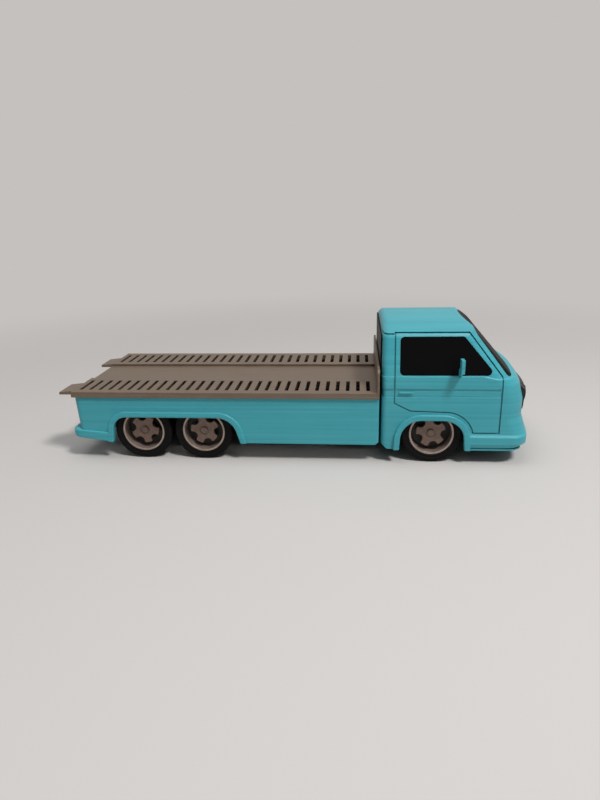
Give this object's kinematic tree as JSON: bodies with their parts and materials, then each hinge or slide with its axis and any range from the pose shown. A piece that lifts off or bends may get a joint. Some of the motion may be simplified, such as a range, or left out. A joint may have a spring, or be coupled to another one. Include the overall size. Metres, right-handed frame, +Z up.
{
  "type": "toy car transporter truck",
  "caption": "Toy forward-control car transporter: hollow turquoise cab and bed on a plate-and-rail chassis, slotted silver loading deck with bulkhead, free-rolling axles.",
  "frame": {"origin": "on the ground, under the middle of the model's length and width", "axes": "+X forward, towards the cab; +Y to the model's left; +Z up"},
  "size_m": [0.2328, 0.0888, 0.0671],
  "materials": {
    "turquoise_print": "satin turquoise printed plastic with fine layer lines",
    "black_gloss_print": "gloss black plastic",
    "black_satin_print": "satin black printed plastic",
    "silver_print": "silver-grey printed plastic",
    "wheel_silver": "silver plastic, worn gloss",
    "lamp_smoked": "smoked black plastic, polished",
    "tyre_black": "matt black rubber",
    "steel_rod": "plain steel rod"
  },
  "bodies": {
    "root": {"cab_shell": "turquoise_print", "bed_body": "turquoise_print", "mirror_left": "turquoise_print", "mirror_right": "turquoise_print", "windscreen": "black_gloss_print", "side_window_left": "black_gloss_print", "side_window_right": "black_gloss_print", "rear_window": "black_gloss_print", "front_panel": "black_satin_print", "headlamp_left": "lamp_smoked", "headlamp_right": "lamp_smoked", "chassis_plate": "black_satin_print", "chassis_rails": "black_satin_print", "chassis_crossbars": "black_satin_print", "deck_floor": "silver_print", "track_left": "silver_print", "track_right": "silver_print", "bulkhead": "silver_print"},
    "wheelset_rear": {"axle_rear": "steel_rod", "tyre_rear_left": "tyre_black", "rim_rear_left": "wheel_silver", "hub_rear_left": "black_satin_print", "star_rear_left": "wheel_silver", "tyre_rear_right": "tyre_black", "rim_rear_right": "wheel_silver", "hub_rear_right": "black_satin_print", "star_rear_right": "wheel_silver"},
    "wheelset_middle": {"axle_middle": "steel_rod", "tyre_middle_left": "tyre_black", "rim_middle_left": "wheel_silver", "hub_middle_left": "black_satin_print", "star_middle_left": "wheel_silver", "tyre_middle_right": "tyre_black", "rim_middle_right": "wheel_silver", "hub_middle_right": "black_satin_print", "star_middle_right": "wheel_silver"},
    "wheelset_front": {"axle_front": "steel_rod", "tyre_front_left": "tyre_black", "rim_front_left": "wheel_silver", "hub_front_left": "black_satin_print", "star_front_left": "wheel_silver", "tyre_front_right": "tyre_black", "rim_front_right": "wheel_silver", "hub_front_right": "black_satin_print", "star_front_right": "wheel_silver"}
  },
  "joints": [
    {"name": "rear_wheels_turn", "type": "hinge", "parent": "root", "child": "wheelset_rear", "pos_m": [-0.07565, 0, 0.0147], "axis": [0, 1, 0], "continuous": true},
    {"name": "middle_wheels_turn", "type": "hinge", "parent": "root", "child": "wheelset_middle", "pos_m": [-0.04465, 0, 0.0147], "axis": [0, 1, 0], "continuous": true},
    {"name": "front_wheels_turn", "type": "hinge", "parent": "root", "child": "wheelset_front", "pos_m": [0.06755, 0, 0.0147], "axis": [0, 1, 0], "continuous": true}
  ]
}
